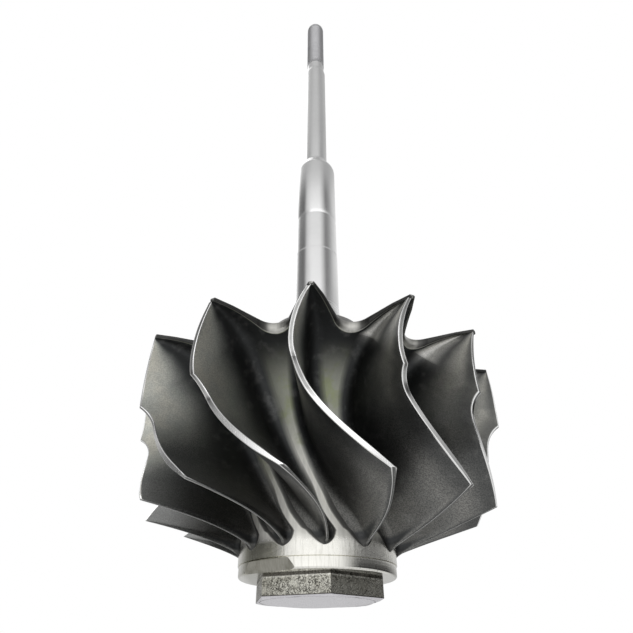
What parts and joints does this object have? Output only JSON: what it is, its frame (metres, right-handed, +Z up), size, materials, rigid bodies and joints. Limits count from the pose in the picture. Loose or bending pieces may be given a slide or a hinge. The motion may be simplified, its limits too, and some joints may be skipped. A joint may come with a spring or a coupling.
{
  "type": "turbocharger turbine wheel",
  "caption": "Radial turbine wheel with curved blades, a scalloped back disc and a hexagon nose, on a stepped shaft with a threaded end.",
  "frame": {"origin": "centre of the hexagon's end face, which the wheel stands on", "axes": "+Z up along the shaft, -Y towards the side that the picture shows, +X to its right"},
  "size_m": [0.0676, 0.0676, 0.1808],
  "materials": {
    "cast_alloy": "satin cast",
    "machined_nose": "turned satin",
    "rough_hexagon": "rough cast",
    "ground_steel": "ground",
    "rolled_thread": "rolled, dull"
  },
  "bodies": {
    "root": {"hub": "cast_alloy", "blade_01": "cast_alloy", "blade_02": "cast_alloy", "blade_03": "cast_alloy", "blade_04": "cast_alloy", "blade_05": "cast_alloy", "blade_06": "cast_alloy", "blade_07": "cast_alloy", "blade_08": "cast_alloy", "blade_09": "cast_alloy", "blade_10": "cast_alloy", "blade_11": "cast_alloy", "blade_12": "cast_alloy", "blade_13": "cast_alloy", "nose_band": "machined_nose", "hexagon": "rough_hexagon", "threaded_end": "rolled_thread", "shaft_boss": "ground_steel", "inner_journal": "ground_steel", "shaft_waist": "ground_steel", "outer_journal": "ground_steel", "wheel_spigot": "ground_steel", "thread_neck": "ground_steel"}
  },
  "joints": []
}
